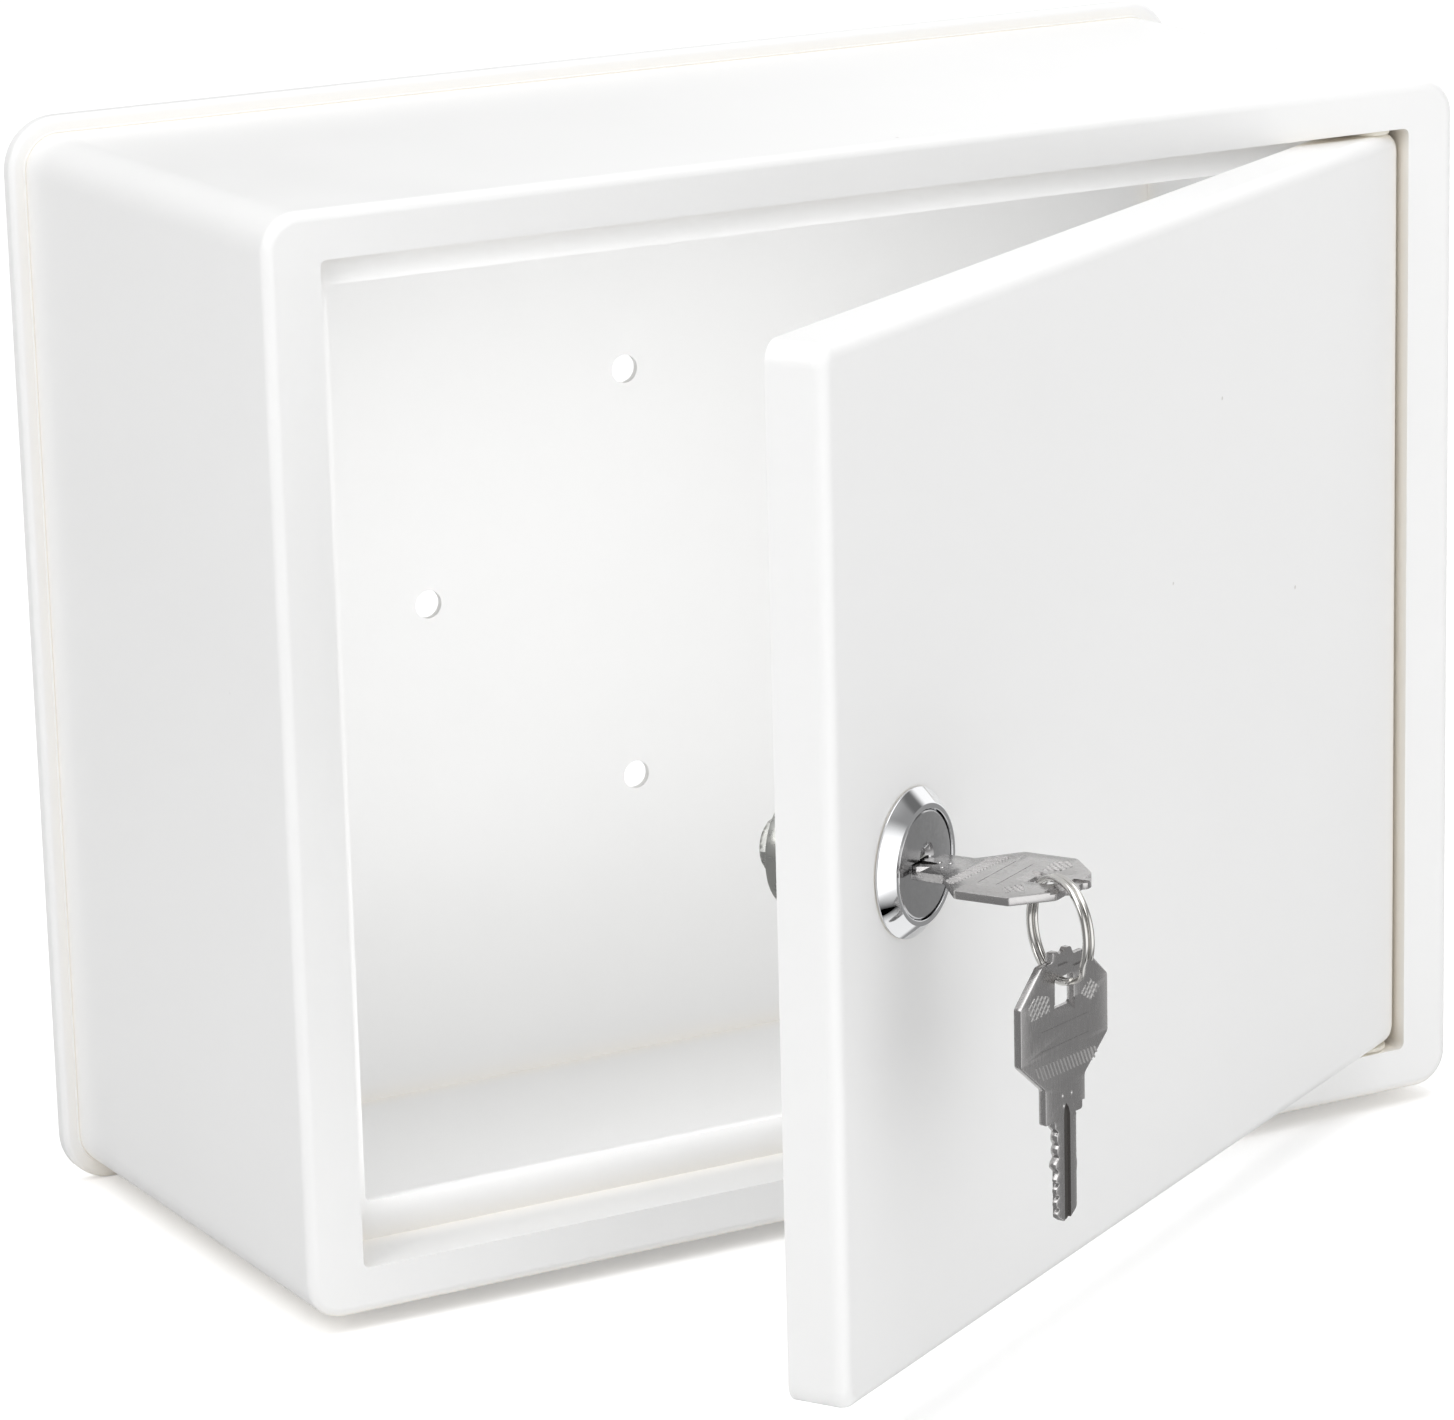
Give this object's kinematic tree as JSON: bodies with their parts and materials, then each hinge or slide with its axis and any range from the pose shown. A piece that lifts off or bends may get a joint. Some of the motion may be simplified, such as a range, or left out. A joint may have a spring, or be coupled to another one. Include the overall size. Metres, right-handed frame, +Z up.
{
  "type": "wall donation box with cam lock",
  "caption": "Wall-mounted sheet-metal donation box: shallow rounded body, recessed pan door on side pivot pins, cam lock with key, split ring and spare key.",
  "frame": {"origin": "centre of the back panel's rear face, on the wall", "axes": "+X to the hinge side, to the right seen from the front; +Y into the wall; +Z up"},
  "size_m": [0.205, 0.193, 0.166],
  "materials": {
    "white_coat": "satin powder coat",
    "pin_steel": "zinc plated",
    "nylon": "moulded",
    "lock_chrome": "bright chrome plate",
    "lock_zinc": "zinc plated",
    "plug_face": "satin",
    "wafer_brass": "stamped",
    "key_nickel": "nickel plated"
  },
  "bodies": {
    "box": {"body_shell": "white_coat", "door_frame": "white_coat", "back_panel": "white_coat", "hinge_pin_upper": "pin_steel", "hinge_pin_lower": "pin_steel"},
    "door": {"door_panel": "white_coat", "hinge_washers": "nylon", "lock_housing": "lock_chrome", "lock_washer": "lock_zinc", "lock_nut": "lock_chrome"},
    "plug": {"lock_plug": "plug_face", "keyway_shutter": "lock_zinc", "wafer_tumblers": "wafer_brass", "wafer_springs": "lock_zinc", "cam_stop_washer": "lock_zinc", "cam": "lock_zinc", "cam_spring_washer": "lock_zinc", "cam_screw": "lock_zinc"},
    "key": {"key": "key_nickel"},
    "ring": {"key_ring": "key_nickel"},
    "spare": {"spare_key": "key_nickel"}
  },
  "joints": [
    {"name": "door_hinge", "type": "hinge", "parent": "box", "child": "door", "pos_m": [0.0863, -0.0808, 0], "axis": [0, 0, 1], "range_deg": [-30.6, 69.4]},
    {"name": "plug_turn", "type": "hinge", "parent": "door", "child": "plug", "pos_m": [-0.04567, -0.16372, -0.0011], "axis": [0.509, -0.8607, 0], "range_deg": [0, 180]},
    {"name": "key_slide", "type": "slide", "parent": "plug", "child": "key", "axis": [0.509, -0.8607, 0], "range_m": [0, 0.02]},
    {"name": "ring_swing", "type": "hinge", "parent": "key", "child": "ring", "pos_m": [-0.03601, -0.18365, -0.0011], "axis": [-1, 0.007, 0], "range_deg": [-2, 8]},
    {"name": "spare_swing", "type": "hinge", "parent": "ring", "child": "spare", "pos_m": [-0.03602, -0.18555, -0.0136], "axis": [0.3923, -0.9198, 0], "range_deg": [-20, 20]}
  ]
}
